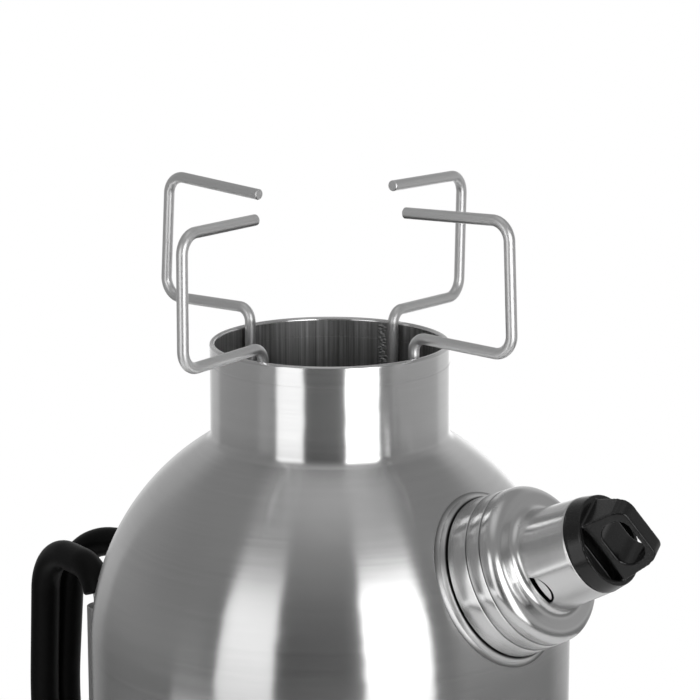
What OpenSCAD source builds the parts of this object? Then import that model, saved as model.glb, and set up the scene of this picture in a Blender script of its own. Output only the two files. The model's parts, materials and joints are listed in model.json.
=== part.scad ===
// Storm kettle: a camping kettle that boils water round a central chimney. It
// stands on a fire base, has a whistle cap with a stopper on its spout, a
// folding two-loop handle, and two crossed wires in the chimney that carry a pan.
// Millimetres. The origin is on the ground under the middle of the fire base,
// +Z is up, the spout points to +X and the handle to -X.

/* [Body] */
// Outside diameter of the body
body_d = 162.5; // [150:0.5:175]
// Sheet thickness of the body, flue and fire base
sheet_t = 0.8; // [0.6:0.1:1.2]
// Height of the straight wall, from the skirt's edge to the dome
wall_h = 133; // [120:1:170]
// How far the skirt hangs down round the fire base
skirt_drop = 8; // [5:0.5:12]
// Clearance between the skirt and the fire base's rim
skirt_gap = 0.6; // [0.4:0.1:1.2]
// Gap left between pieces that are welded together
weld_gap = 0.05; // [0.02:0.01:0.1]
// Gap left between loose pieces that rest on each other
rest_gap = 0.3; // [0.2:0.1:0.6]

/* [Chimney] */
// Outside diameter of the neck
neck_d = 80; // [74:0.5:86]
// Height of the straight neck
neck_h = 30; // [20:1:45]
// Radius of the hollow bend between dome and neck
neck_fillet = 4; // [2:0.5:8]
// Width of the water jacket at its foot, from the flue's inside to the wall's inside
jacket_w = 12.45; // [9:0.05:20]
// Height of the flue's straight top
flue_top_h = 36; // [25:1:50]
// Radius of the weld bead round the rim
rim_bead_r = 0.95; // [0.8:0.05:1.3]
// Distance of the seam weld's line below the rim
seam_drop = 6.5; // [4:0.5:12]
// Width of the seam weld's line
seam_w = 0.6; // [0.3:0.1:1]
// Depth of the seam weld's line
seam_deep = 0.2; // [0.1:0.05:0.3]
// Height of the bottom ring's flange
ring_flange_h = 4; // [2:0.5:8]

/* [Fire base] */
// Height of the fire base
base_h = 60; // [50:1:75]
// Diameter of its flat floor
base_floor_d = 116; // [90:1:124]
// Radius of the bend between its floor and wall
base_corner_r = 8; // [4:0.5:12]
// Radius of its rolled rim
base_bead_r = 2.2; // [1.6:0.1:3]
// Diameter of the air hole
air_hole_d = 36; // [24:1:38]
// Height of the air hole's middle
air_hole_z = 30; // [27:1:32]

/* [Spout socket] */
// Angle of the spout above level
spout_tilt = 26; // [15:0.5:35]
// Diameter of the collar where it meets the body
collar_d = 56; // [55:0.5:62]
// Diameter of the collar's top
collar_top_d = 54.2; // [53:0.2:54.8]
// Diameter of the weld fillet round the collar's foot
collar_weld_d = 58.5; // [57:0.5:63]
// Height of the weld fillet at its outer edge
weld_edge_h = 0.2; // [0.15:0.05:0.4]
// Height of the collar's outer edge
collar_edge_h = 1.2; // [0.8:0.1:2]
// Height of the collar's top above the dome below it
collar_h = 1.9; // [1.5:0.1:4]
// Inside diameter of the filling tube
tube_bore_d = 43.6; // [40:0.2:45]
// Wall of the filling tube
tube_t = 1.2; // [0.8:0.1:1.8]
// Height of the filling tube above the collar
tube_h = 12.4; // [8:0.2:14]
// Depth of the filling tube below the shell
tube_tail = 2; // [1:0.2:4]

/* [Whistle cap] */
// Outside diameter of the cap's skirt
cap_d = 53.2; // [52.4:0.2:54]
// Wall of the cap
cap_t = 1.1; // [0.8:0.1:1.4]
// Dark gap between collar and cap
cap_gap = 0.6; // [0.3:0.1:1.2]
// Height of the cap from its edge to the shoulder's middle
cap_skirt_h = 14.9; // [14.5:0.1:18]
// Outside diameter of the shoulder
shoulder_d = 51.8; // [51.2:0.1:53]
// Radius of the round shoulder
shoulder_r = 4; // [3:0.1:5]
// Height of the first groove above the cap's edge
groove_1_h = 7.3; // [5:0.1:8.5]
// Height of the second groove above the cap's edge
groove_2_h = 12.7; // [10.5:0.1:13]
// Radius of the round grooves
groove_r = 0.8; // [0.5:0.1:1]
// Diameter of the nozzle at its foot
nozzle_foot_d = 33.2; // [32:0.2:35]
// Diameter of the nozzle at its end
nozzle_end_d = 31.3; // [30.6:0.1:32]
// Height of the nozzle above the shoulder
nozzle_h = 19.6; // [18.6:0.1:24]
// Radius of the hollow bend at the nozzle's foot
nozzle_fillet = 2.8; // [1.5:0.1:3.2]
// Distance of the whistle slot from the bend at the nozzle's foot
slot_gap = 0.3; // [0.1:0.1:1]
// Length of the half-moon whistle slot
slot_w = 11.4; // [8:0.2:13]
// Reach of the half-moon slot along the nozzle
slot_h = 4.7; // [3:0.1:5.5]
// Turn of the slot round the nozzle
slot_turn = -61.6; // [-90:0.2:0]
// Width of the slit along the slot's straight side
slit_w = 1.7; // [1:0.1:2.5]
// Sideways shift of the slot's tongue, which leaves it joined at one end
tongue_shift = 0.8; // [0.5:0.1:1.5]
// Gap between the tongue and the top of the slot's bow
tongue_gap = 0.3; // [0.2:0.05:0.6]
// Distance of the whistle plate above the slot
plate_lift = 1.4; // [0.5:0.1:3]
// Thickness of the whistle plate
plate_t = 1; // [0.6:0.1:1.5]
// Diameter of the hole in the whistle plate
plate_hole_d = 5; // [3:0.5:8]

/* [Stopper] */
// Turn of the tab round the spout's axis
tab_turn = 27.7; // [0:0.1:90]
// Diameter of the cup at its foot
cup_d = 31.4; // [30.8:0.1:33]
// Diameter of the cup at its rim
cup_rim_d = 29.4; // [28.8:0.1:30.4]
// Height of the cup
cup_h = 5.6; // [4.5:0.1:8]
// Width of the cup's rim beside the pockets
cup_rim_t = 1.6; // [1:0.1:2.2]
// Depth of the half-moon pockets
pocket_deep = 3.6; // [2:0.1:4]
// Width of the tab at its foot
tab_foot_w = 23.4; // [22:0.2:26]
// Width of the tab at its end
tab_end_w = 20.8; // [19.6:0.2:22]
// Thickness of the tab at its foot
tab_foot_t = 13.6; // [10:0.2:15]
// Thickness of the tab at its end
tab_end_t = 5.6; // [5:0.2:9]
// Height of the tab above the cup
tab_h = 13.6; // [12.8:0.2:18]
// Radius of the tab's corners
tab_corner_r = 3.6; // [2:0.1:4.5]
// Width of the hole in the tab
tab_hole_w = 16.2; // [13:0.2:17]
// Height of the hole in the tab
tab_hole_h = 9.2; // [7:0.2:10]
// Height of the hole's middle above the cup
tab_hole_z = 7.2; // [6:0.1:8]
// Diameter of the stem
stem_d = 23; // [20:0.5:25]
// Length of the stem
stem_h = 8; // [7:0.2:9]
// Width of the seal ring on the stem
seal_w = 3; // [2:0.2:4]
// Depth of the seal's seat in the stem
seal_seat = 1; // [0.6:0.1:1.4]

/* [Handle] */
// Distance of the hinge pins outside the body's wall
hinge_out = 10.8; // [9:0.1:14]
// Angle of each hinge from the handle's middle
hinge_spread = 11.2; // [10:0.1:18]
// Height of the handle's middle above the ground
handle_mid_z = 138; // [130:1:150]
// Diameter of the handle's wire
grip_wire_d = 4; // [3.4:0.1:4.4]
// Running clearance of the wire in its barrel
hinge_fit = 0.08; // [0.04:0.01:0.1]
// Wall of the hinge barrels
barrel_t = 2.4; // [1.5:0.1:2.8]
// Length of the hinge barrels
barrel_h = 90; // [75:1:100]
// Length of wire that sits inside the barrel at each end
wire_tail = 24; // [12:1:28]
// Thickness of the bracket's plate
bracket_t = 1.5; // [1:0.1:2]
// Width of the bracket's ribs under the barrels
rib_w = 4; // [3:0.2:5]
// Reach of the loops from hinge to grip
loop_reach = 38.2; // [36:0.1:60]
// How much further the grip's middle reaches
grip_bow = 4; // [1:0.1:8]
// Bend of the grip at its middle
bow_bend = 160; // [100:5:300]
// Bend of the loops at the grip's ends
grip_bend = 18; // [10:0.5:20]
// Bend of the loops at the hinge
hinge_bend = 12; // [9:0.1:14]
// Outside diameter of the rubber sleeves
sleeve_d = 10.5; // [9:0.1:11]
// Straight wire between barrel and bend
bare_h = 0.9; // [0.3:0.1:3]
// Part of the hinge bend that the sleeve leaves bare, in degrees
bare_turn = 22; // [15:1:60]
// Gap between the closed grips
grip_gap = 0.7; // [0.4:0.1:3]

/* [Pan support] */
// Diameter of the support wires
pan_wire_d = 3.7; // [3:0.1:4]
// Gap between the wires' legs and the chimney's inside
leg_gap = 0.45; // [0.4:0.05:2]
// Height of the lower wire's outer corners above the rim
arm_z = 3.3; // [3.2:0.1:5]
// How much higher the upper wire's arms lie
upper_lift = 2.2; // [1:0.1:4]
// How much higher the arms lie at the rim than at their outer corners
arm_rise = 0.8; // [0:0.1:2]
// Reach of the arms from the legs to the outer corners
arm_len = 39.95; // [30:0.05:48]
// Height of the top rails above the arms
rail_h = 43; // [35:0.5:50]
// Length of most top rails
rail_len = 42; // [30:0.5:48]
// Length of the lower wire's first top rail
short_rail_len = 36.5; // [30:0.5:48]
// Outward lean of the lower wire's first and second post
lower_leans = [-0.3, 1.7]; // [-4:0.1:4]
// Outward lean of the upper wire's first and second post
upper_leans = [-2.6, -3.6]; // [-4:0.1:4]
// Turn of the lower wire's plane from crosswise
lower_turn = 1.3; // [-5:0.1:5]
// Turn of the upper wire's plane from the spout's plane
upper_turn = -2.9; // [-5:0.1:5]
// Bend of the wires at their corners
corner_bend = 6.5; // [4:0.5:9]
// Bend of the wires over the rim
hook_bend = 4.6; // [4:0.1:5]
// Bend of the wires at the foot of their legs
foot_bend = 7; // [5:0.5:10]
// Depth of the lower wire's crossing below the rim
cross_deep = 45; // [38:0.5:55]

/* [Hidden] */
$fn = 96;
over = 1; // cuts run this far past the faces that they cut
bend_lap = 0.05; // straights of bent bars reach this far into their bends
bend_swell = 1.004; // bends of bent bars are this much fuller than the straights

// Body and chimney
body_r = body_d / 2;
neck_r = neck_d / 2;
skirt_z = base_h - skirt_drop;
dome_z = skirt_z + wall_h;
bend_r = neck_r + neck_fillet;
bend_z = dome_z + sqrt(pow(body_r + neck_fillet, 2) - pow(bend_r, 2));
rim_z = bend_z + neck_h;
sheet_top_z = rim_z - rim_bead_r;
flue_foot_r = body_r - sheet_t - jacket_w;
flue_top_r = neck_r - 2 * sheet_t - weld_gap;
ring_z = base_h + rest_gap;
flue_kink_z = rim_z - flue_top_h;
flue_slope = atan2(flue_foot_r - flue_top_r, flue_kink_z - ring_z);
flue_wall = sheet_t / cos(flue_slope);

// Fire base
base_bead_c = body_r - sheet_t - skirt_gap - base_bead_r;
base_mouth_r = base_bead_c - base_bead_r + sheet_t;
base_mouth_z = base_h - base_bead_r;
base_floor_r = base_floor_d / 2;
base_flare = atan2(base_mouth_r - base_floor_r, base_mouth_z - base_corner_r)
    - asin(base_corner_r / norm([base_mouth_r - base_floor_r, base_mouth_z - base_corner_r]));

// Spout, measured along its axis from the dome's middle
collar_r = collar_d / 2;
collar_top_r = collar_top_d / 2;
collar_weld_r = collar_weld_d / 2;
weld_foot_t = sqrt(pow(body_r, 2) - pow(collar_weld_r, 2));
collar_foot_t = sqrt(pow(body_r, 2) - pow(collar_r, 2));
collar_top_t = sqrt(pow(body_r, 2) - pow(collar_top_r, 2)) + collar_h;
tube_bore_r = tube_bore_d / 2;
tube_r = tube_bore_r + tube_t;
tube_foot_t = sqrt(pow(body_r - sheet_t, 2) - pow(tube_r, 2)) - tube_tail;
tube_end_t = collar_top_t + tube_h;
cap_r = cap_d / 2;
cap_foot_t = collar_top_t + cap_gap;
shoulder_t = cap_foot_t + cap_skirt_h;
shoulder_c = shoulder_d / 2 - shoulder_r;
shoulder_top_t = shoulder_t + shoulder_r;
nozzle_foot_r = nozzle_foot_d / 2;
nozzle_end_r = nozzle_end_d / 2;
nozzle_bend_t = shoulder_top_t + nozzle_fillet;
nozzle_end_t = shoulder_top_t + nozzle_h;
slot_foot_t = nozzle_bend_t + slot_gap;
plate_foot_t = slot_foot_t + slot_h + plate_lift;

// Radius of the cap's outside at a place along the axis
function skirt_r(t) = cap_r + (shoulder_d / 2 - cap_r) * (t - cap_foot_t) / cap_skirt_h;

// Radius of the nozzle's outside at a place along the axis
function nozzle_r(t) = nozzle_foot_r
    + (nozzle_end_r - nozzle_foot_r) * (t - nozzle_bend_t) / (nozzle_end_t - nozzle_bend_t);

// Stopper
cup_t = nozzle_end_t + rest_gap;
cup_rim_at = cup_t + cup_h;
seal_r = nozzle_end_r - cap_t - rest_gap;

// Handle
hinge_r = body_r + hinge_out;
hinge_x = hinge_r * cos(hinge_spread);
hinge_y = hinge_r * sin(hinge_spread);
grip_y = (sleeve_d + grip_gap) / 2;
loop_turn = asin((hinge_y - grip_y) / (loop_reach + grip_bow));
loop_mid = barrel_h / 2 + bare_h + hinge_bend;
barrel_bore_r = grip_wire_d / 2 + hinge_fit;
barrel_r = barrel_bore_r + barrel_t;
sleeve_bore_r = grip_wire_d / 2 + weld_gap;

// Pan support
pan_wire_r = pan_wire_d / 2;
leg_r = flue_top_r - pan_wire_r - leg_gap;
arm_r = leg_r + arm_len;
cross_gap = pan_wire_d + rest_gap;

// Unit vector from one point to another
function heading(from, to) = (to - from) / norm(to - from);

// Turn to the left from one heading to the next, in degrees
function turn(a, b) = atan2(a[0] * b[1] - a[1] * b[0], a * b);

// Length that a bend takes off each of its two straights
function bend_cut(a, b, r) = r * tan(abs(turn(a, b)) / 2);

// A bar of the child profile along points in the XZ plane, with a bend at
// each inner point. The straights reach a hair into the slightly fuller bends.
module bent_bar(points, bends) {
    last = len(points) - 1;
    ways = [for (i = [0:last - 1]) heading(points[i], points[i + 1])];
    cuts = [for (i = [0:last])
        i == 0 || i == last ? 0 : bend_cut(ways[i - 1], ways[i], bends[i - 1]) - bend_lap];
    for (i = [0:last - 1]) {
        start = points[i] + cuts[i] * ways[i];
        run = norm(points[i + 1] - points[i]) - cuts[i] - cuts[i + 1];
        translate([start[0], 0, start[1]])
            rotate([0, atan2(ways[i][0], ways[i][1]), 0])
                linear_extrude(run) children();
    }
    for (i = [1:last - 1]) {
        sweep = turn(ways[i - 1], ways[i]);
        side = sign(sweep) * [-ways[i - 1][1], ways[i - 1][0]];
        centre = points[i] - (cuts[i] + bend_lap) * ways[i - 1] + bends[i - 1] * side;
        first = atan2(-side[1], -side[0]) + min(sweep, 0);
        translate([centre[0], 0, centre[1]])
            rotate([90, 0, 0])
                rotate(first)
                    rotate_extrude(angle = abs(sweep))
                        translate([bends[i - 1], 0]) scale(bend_swell) children();
    }
}

// Puts its children on the spout's axis, +Z outwards from the dome's middle
module on_spout(t = 0, spin = 0) {
    translate([0, 0, dome_z])
        rotate([0, 90 - spout_tilt, 0])
            rotate(spin)
                translate([0, 0, t]) children();
}

// Half section of the body and neck, taken in by an inset
module body_section(inset, foot_z, top_z) {
    r = body_r - inset;
    neck = neck_r - inset;
    share = r / (body_r + neck_fillet);
    touch_r = share * bend_r;
    touch_z = dome_z + share * (bend_z - dome_z);
    translate([0, foot_z]) square([r, dome_z - foot_z]);
    translate([0, dome_z]) intersection() {
        circle(r);
        translate([0, -r]) square([r, 2 * r]);
    }
    translate([0, dome_z]) square([neck, top_z - dome_z]);
    difference() {
        polygon([[0, touch_z], [touch_r, touch_z], [bend_r, bend_z], [neck, bend_z], [0, bend_z]]);
        translate([bend_r, bend_z]) circle(neck_fillet + inset);
    }
}

// Half section of the fire base, taken in by an inset
module base_section(inset, top_z) {
    r = base_corner_r - inset;
    out = [cos(base_flare), -sin(base_flare)];
    rise = top_z - base_mouth_z;
    translate([base_floor_r, base_corner_r]) circle(r);
    polygon([
        [0, inset], [base_floor_r, inset], [base_floor_r, base_corner_r],
        [base_floor_r, base_corner_r] + r * out,
        [base_mouth_r - inset / cos(base_flare) + rise * tan(base_flare), top_z], [0, top_z],
    ]);
}

// Half section of the cap and nozzle, taken in by an inset
module cap_section(inset, foot_t, end_t) {
    bend_c = nozzle_foot_r + nozzle_fillet;
    r = shoulder_r - inset;
    polygon([
        [0, foot_t], [skirt_r(foot_t) - inset, foot_t], [shoulder_c + r, shoulder_t],
        [shoulder_c, shoulder_t + r], [0, shoulder_t + r],
    ]);
    translate([shoulder_c, shoulder_t]) circle(r);
    translate([0, shoulder_top_t - inset]) difference() {
        square([bend_c, nozzle_fillet + inset]);
        translate([bend_c, nozzle_fillet + inset]) circle(nozzle_fillet + inset);
    }
    polygon([
        [0, shoulder_t], [nozzle_foot_r - inset, shoulder_t], [nozzle_foot_r - inset, nozzle_bend_t],
        [nozzle_r(end_t) - inset, end_t], [0, end_t],
    ]);
}

// Half-moon outline, its straight side on X and its bow towards +Y
module half_moon(w, h) {
    bow_r = (pow(w / 2, 2) + pow(h, 2)) / (2 * h);
    intersection() {
        translate([0, h - bow_r]) circle(bow_r);
        translate([-w / 2, 0]) square([w, h]);
    }
}

// Outline of the tab seen from its broad side, foot on the X axis
module tab_outline() {
    intersection() {
        polygon([
            [-tab_foot_w / 2, 0], [tab_foot_w / 2, 0],
            [tab_end_w / 2, tab_h], [-tab_end_w / 2, tab_h],
        ]);
        union() {
            translate([-tab_foot_w / 2, 0]) square([tab_foot_w, tab_h - tab_corner_r]);
            square_w = tab_end_w - 2 * tab_corner_r;
            translate([-square_w / 2, 0]) square([square_w, tab_h]);
            for (side = [-1, 1])
                translate([side * square_w / 2, tab_h - tab_corner_r]) circle(tab_corner_r);
        }
    }
}

// Oval outline with round ends, its long side on X
module oval(w, h) {
    square([w - h, h], center = true);
    for (side = [-1, 1])
        translate([side * (w - h) / 2, 0]) circle(h / 2);
}

// Fire bowl with a rolled rim and an air hole
module fire_base() {
    color("silver") difference() {
        rotate_extrude() {
            difference() {
                base_section(0, base_mouth_z);
                base_section(sheet_t, base_mouth_z + over);
            }
            translate([base_bead_c, base_mouth_z]) circle(base_bead_r);
        }
        translate([0, 0, air_hole_z])
            rotate([90, 0, 0]) cylinder(h = body_d, d = air_hole_d);
    }
}

// Body, dome and neck in one sheet
module outer_shell() {
    color("silver") difference() {
        rotate_extrude() difference() {
            body_section(0, skirt_z, sheet_top_z);
            body_section(sheet_t, skirt_z - over, sheet_top_z + over);
            translate([neck_r - seam_deep, rim_z - seam_drop - seam_w / 2])
                square([seam_deep + over, seam_w]);
        }
        on_spout() cylinder(h = body_d, r = tube_r + weld_gap);
    }
}

// Chimney inside the body
module flue() {
    color("gray") rotate_extrude() difference() {
        polygon([
            [flue_foot_r, ring_z], [flue_foot_r + flue_wall, ring_z],
            [flue_top_r + sheet_t, flue_kink_z], [flue_top_r + sheet_t, sheet_top_z],
            [flue_top_r, sheet_top_z], [flue_top_r, flue_kink_z],
        ]);
        translate([flue_top_r - over, rim_z - seam_drop - seam_w / 2])
            square([seam_deep + over, seam_w]);
    }
}

// Ring that closes the water jacket at the bottom
module bottom_ring() {
    inner_r = flue_foot_r + flue_wall + weld_gap;
    outer_r = body_r - sheet_t - weld_gap;
    color("silver") rotate_extrude() {
        translate([inner_r, ring_z]) square([outer_r - inner_r, sheet_t]);
        translate([outer_r - sheet_t, ring_z]) square([sheet_t, ring_flange_h]);
    }
}

// Round weld bead on the neck's and the flue's top edges
module chimney_rim() {
    bead_c = neck_r - sheet_t - weld_gap / 2;
    color("silver") rotate_extrude() translate([bead_c, sheet_top_z]) intersection() {
        circle(rim_bead_r);
        translate([-rim_bead_r, 0]) square(2 * rim_bead_r);
    }
}

// Collar on the dome and the filling tube inside it
module spout_socket() {
    color("silver") on_spout() rotate_extrude() {
        difference() {
            polygon([
                [tube_r - tube_t / 2, tube_foot_t], [collar_weld_r, tube_foot_t - collar_h],
                [collar_weld_r, weld_foot_t + weld_edge_h],
                [collar_r, collar_foot_t + collar_edge_h / 2],
                [collar_r, collar_foot_t + collar_edge_h], [collar_top_r, collar_top_t],
                [tube_r - tube_t / 2, collar_top_t],
            ]);
            circle(body_r + weld_gap);
        }
        translate([tube_bore_r, tube_foot_t]) square([tube_t, tube_end_t - tube_foot_t]);
    }
}

// Silicone sleeve inside the cap
module spout_gasket() {
    foot_t = cap_foot_t + rest_gap;
    inner_r = tube_r + rest_gap;
    inset = cap_t + weld_gap;
    color("white") on_spout() rotate_extrude() polygon([
        [inner_r, foot_t], [skirt_r(foot_t) - inset, foot_t],
        [skirt_r(tube_end_t) - inset, tube_end_t], [inner_r, tube_end_t],
    ]);
}

// Outline of the whistle slot, a half-moon cut round a tongue that stays joined at one end
module slot_outline() {
    difference() {
        half_moon(slot_w, slot_h);
        intersection() {
            translate([-tongue_shift, -tongue_gap]) half_moon(slot_w, slot_h);
            translate([-slot_w, slit_w]) square([2 * slot_w, slot_h]);
        }
    }
}

// Cap with grooves, shoulder, nozzle and whistle slot
module whistle_cap() {
    color("lightgray") difference() {
        on_spout() rotate_extrude() difference() {
            cap_section(0, cap_foot_t, nozzle_end_t);
            cap_section(cap_t, cap_foot_t - over, nozzle_end_t + over);
            for (h = [groove_1_h, groove_2_h])
                translate([skirt_r(cap_foot_t + h) + groove_r / 4, cap_foot_t + h]) circle(groove_r);
        }
        on_spout(slot_foot_t, slot_turn)
            translate([nozzle_end_r / 2, 0, 0])
                rotate([90, 0, 90]) linear_extrude(nozzle_foot_r) slot_outline();
    }
}

// Plate across the nozzle with the hole that sounds
module whistle_plate() {
    r = nozzle_r(plate_foot_t + plate_t) - cap_t - weld_gap;
    color("gray") on_spout(plate_foot_t) difference() {
        cylinder(h = plate_t, r = r);
        translate([0, 0, -over]) cylinder(h = plate_t + 2 * over, d = plate_hole_d);
    }
}

// Black stopper with its cup, pockets, tab and stem
module stopper_knob() {
    color("#1a1a1a") on_spout(0, tab_turn) difference() {
        union() {
            translate([0, 0, cup_t]) cylinder(h = cup_h, d1 = cup_d, d2 = cup_rim_d);
            translate([0, 0, cup_rim_at]) intersection() {
                rotate([90, 0, 0]) linear_extrude(tab_foot_t, center = true) tab_outline();
                rotate([90, 0, 90]) linear_extrude(tab_foot_w, center = true) polygon([
                    [-tab_foot_t / 2, 0], [tab_foot_t / 2, 0],
                    [tab_end_t / 2, tab_h], [-tab_end_t / 2, tab_h],
                ]);
            }
            translate([0, 0, cup_t - stem_h]) cylinder(h = stem_h, d = stem_d);
        }
        translate([0, 0, cup_rim_at - pocket_deep]) linear_extrude(pocket_deep + over)
            difference() {
                circle(d = cup_rim_d - 2 * cup_rim_t);
                square([cup_d, tab_foot_t], center = true);
            }
        translate([0, 0, cup_rim_at + tab_hole_z]) rotate([90, 0, 0])
            linear_extrude(cup_d, center = true) oval(tab_hole_w, tab_hole_h);
        translate([0, 0, cup_t - stem_h / 2]) rotate_extrude()
            translate([stem_d / 2 - seal_seat, -seal_w / 2 - weld_gap])
                square([seal_seat + over, seal_w + 2 * weld_gap]);
    }
}

// Ring on the stopper's stem
module stopper_seal() {
    inner_r = stem_d / 2 - seal_seat + weld_gap;
    color("#2a2a2a") on_spout(cup_t - stem_h / 2) rotate_extrude()
        translate([inner_r, -seal_w / 2]) square([seal_r - inner_r, seal_w]);
}

// Puts its children on a hinge's axis at the handle's middle height
module on_hinge(side) {
    translate([-hinge_x, side * hinge_y, handle_mid_z]) children();
}

// Plate on the body with a rib under each barrel
module handle_bracket() {
    inner_r = body_r + weld_gap;
    plate_r = inner_r + bracket_t;
    spread = 2 * hinge_spread;
    color("silver") difference() {
        translate([0, 0, handle_mid_z - barrel_h / 2]) {
            rotate(180 - hinge_spread) rotate_extrude(angle = spread)
                translate([inner_r, 0]) square([bracket_t, barrel_h]);
            for (side = [-1, 1]) rotate(180 + side * hinge_spread) difference() {
                translate([inner_r - over, -rib_w / 2, 0])
                    cube([hinge_out + over, rib_w, barrel_h]);
                translate([0, 0, -over]) cylinder(h = barrel_h + 2 * over, r = inner_r, $fn = 192);
            }
        }
        for (side = [-1, 1]) on_hinge(side)
            cylinder(h = barrel_h + 2 * over, r = barrel_r + weld_gap, center = true);
    }
}

// Tube that a loop's wire turns in
module hinge_barrel(side) {
    color("silver") on_hinge(side) difference() {
        cylinder(h = barrel_h, r = barrel_r, center = true);
        cylinder(h = barrel_h + 2 * over, r = barrel_bore_r, center = true);
    }
}

// Bar of the child profile along a handle loop, from an end point and the corner after it
module loop_bar(side, end, corner) {
    half = [end, corner, [loop_reach, loop_mid]];
    last = len(half) - 1;
    on_hinge(side) rotate(180 + side * loop_turn) bent_bar(
        concat(
            half, [[loop_reach + grip_bow, 0]],
            [for (i = [0:last]) [half[last - i][0], -half[last - i][1]]]
        ),
        [hinge_bend, grip_bend, bow_bend, grip_bend, hinge_bend]
    ) children();
}

// Wire of one handle loop
module handle_wire(side) {
    color("silver") loop_bar(side, [0, barrel_h / 2 - wire_tail], [0, loop_mid])
        circle(d = grip_wire_d);
}

// Rubber sleeve on one handle loop
module handle_sleeve(side) {
    lead = hinge_bend * tan((90 - bare_turn) / 2);
    corner = [hinge_bend - lead, loop_mid];
    end = corner - (lead + bare_h) * [sin(bare_turn), cos(bare_turn)];
    color("#181818") loop_bar(side, end, corner) difference() {
        circle(d = sleeve_d);
        circle(sleeve_bore_r);
    }
}

// Points of half a support wire, from its rail's end to the foot of its leg
function half_wire(arms_z, foot_z, lean, rail) = let (
    post = [sin(lean), cos(lean)],
    low = [arm_r, arms_z],
    top = low + rail_h * post
) [top + rail * [-post[1], post[0]], top, low, [leg_r, arms_z + arm_rise], [leg_r, foot_z]];

// One support wire, crossing the chimney at foot_z, its outer corners at arms_z
module support_wire(arms_z, foot_z, leans, rails) {
    first = half_wire(arms_z, foot_z, leans[0], rails[0]);
    second = half_wire(arms_z, foot_z, leans[1], rails[1]);
    last = len(second) - 1;
    color("silver") translate([0, 0, rim_z]) bent_bar(
        concat(first, [for (i = [0:last]) [-second[last - i][0], second[last - i][1]]]),
        [
            corner_bend, corner_bend, hook_bend, foot_bend,
            foot_bend, hook_bend, corner_bend, corner_bend,
        ]
    ) circle(pan_wire_r);
}

// Support wire across the kettle, which hangs on the rim
module support_wire_lower() {
    rotate(lower_turn - 90)
        support_wire(arm_z, -cross_deep, lower_leans, [short_rail_len, rail_len]);
}

// Support wire over the spout and handle, which lies on the other one
module support_wire_upper() {
    rotate(upper_turn)
        support_wire(arm_z + upper_lift, cross_gap - cross_deep, upper_leans, [rail_len, rail_len]);
}

fire_base();
outer_shell();
flue();
bottom_ring();
chimney_rim();
spout_socket();
spout_gasket();
whistle_cap();
whistle_plate();
stopper_knob();
stopper_seal();
handle_bracket();
hinge_barrel(-1);  // hinge_barrel_front
hinge_barrel(1);  // hinge_barrel_rear
handle_wire(-1);  // handle_wire_front
handle_wire(1);  // handle_wire_rear
handle_sleeve(-1);  // handle_sleeve_front
handle_sleeve(1);  // handle_sleeve_rear
support_wire_lower();
support_wire_upper();
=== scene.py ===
"""Looks of a storm kettle: sheet steel, weld beads, bent wires, rubber, plastic and the studio.

Sizes are in millimetres, as in the part's source, and meshes are made in metres.
"""

from __future__ import annotations

import json
import logging
import math
from dataclasses import dataclass
from enum import Enum
from typing import Callable, Sequence

import bmesh
import bpy
import numpy as np
from mathutils import Matrix, Vector

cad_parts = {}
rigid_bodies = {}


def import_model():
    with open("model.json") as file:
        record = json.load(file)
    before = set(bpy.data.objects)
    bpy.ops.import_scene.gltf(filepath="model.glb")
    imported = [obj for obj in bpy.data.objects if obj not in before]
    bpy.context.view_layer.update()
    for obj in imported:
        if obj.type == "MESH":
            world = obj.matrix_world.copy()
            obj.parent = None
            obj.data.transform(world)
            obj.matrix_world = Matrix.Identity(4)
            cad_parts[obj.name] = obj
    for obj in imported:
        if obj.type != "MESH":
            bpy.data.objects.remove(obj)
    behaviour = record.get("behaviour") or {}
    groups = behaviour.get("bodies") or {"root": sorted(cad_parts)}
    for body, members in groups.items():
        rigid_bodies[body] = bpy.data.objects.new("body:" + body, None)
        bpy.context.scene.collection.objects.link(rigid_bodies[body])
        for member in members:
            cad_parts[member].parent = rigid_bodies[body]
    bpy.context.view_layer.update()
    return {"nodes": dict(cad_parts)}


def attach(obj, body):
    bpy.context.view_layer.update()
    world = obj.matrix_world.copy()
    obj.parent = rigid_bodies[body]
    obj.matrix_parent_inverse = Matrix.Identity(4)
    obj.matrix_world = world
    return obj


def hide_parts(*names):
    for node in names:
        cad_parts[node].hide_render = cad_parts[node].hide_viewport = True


LOG = logging.getLogger("storm_kettle")
MM = 0.001
TURNED_UV = "turned"
# painted shade: point mark that darkens a steel's grey in gaps, grooves and at the weld foot
SHADE_MARK = "crevice"
GLOW = "glow"
SHARP_ANGLE = math.radians(32)
ROUND_SEGMENTS = 256
SMALL_SEGMENTS = 160
TINY = 1e-6
MARK_RANGE = (0.3, 0.7)
RIPPLE_SIZES = ((0.6, 0.7, 0.8), (1.2, 1.2, 1.3))
RIPPLE_STRAYS = ((-1, -1, -1), (1, 1, 1))
SIZE_SEED, STRAY_SEED = 4, 9

Piece = bpy.types.Object
Mesh = bpy.types.Mesh
Material = bpy.types.Material
Tree = bpy.types.NodeTree
Node = bpy.types.Node
Socket = bpy.types.NodeSocket
Point = tuple[float, float]
Triple = tuple[float, float, float]


class Side(Enum):
    """The two loops of the folding handle."""

    FRONT = -1
    REAR = 1


class Grain(Enum):
    """How a steel surface was worked."""

    TURNED = "lines round the axis"
    STREAKED = "streaks up the wall"
    PLAIN = "fine marks all ways"


def arc(middle: Point, radius: float, start: float, end: float, steps: int) -> list[Point]:
    """Points along a circle.

    Args:
        middle: Centre of the circle.
        radius: Its radius.
        start: First angle in degrees.
        end: Last angle in degrees.
        steps: Number of steps between them.

    Returns:
        The points, both ends among them.
    """
    return [
        (middle[0] + radius * math.cos(a), middle[1] + radius * math.sin(a))
        for a in np.radians(np.linspace(start, end, steps + 1))
    ]


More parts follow.
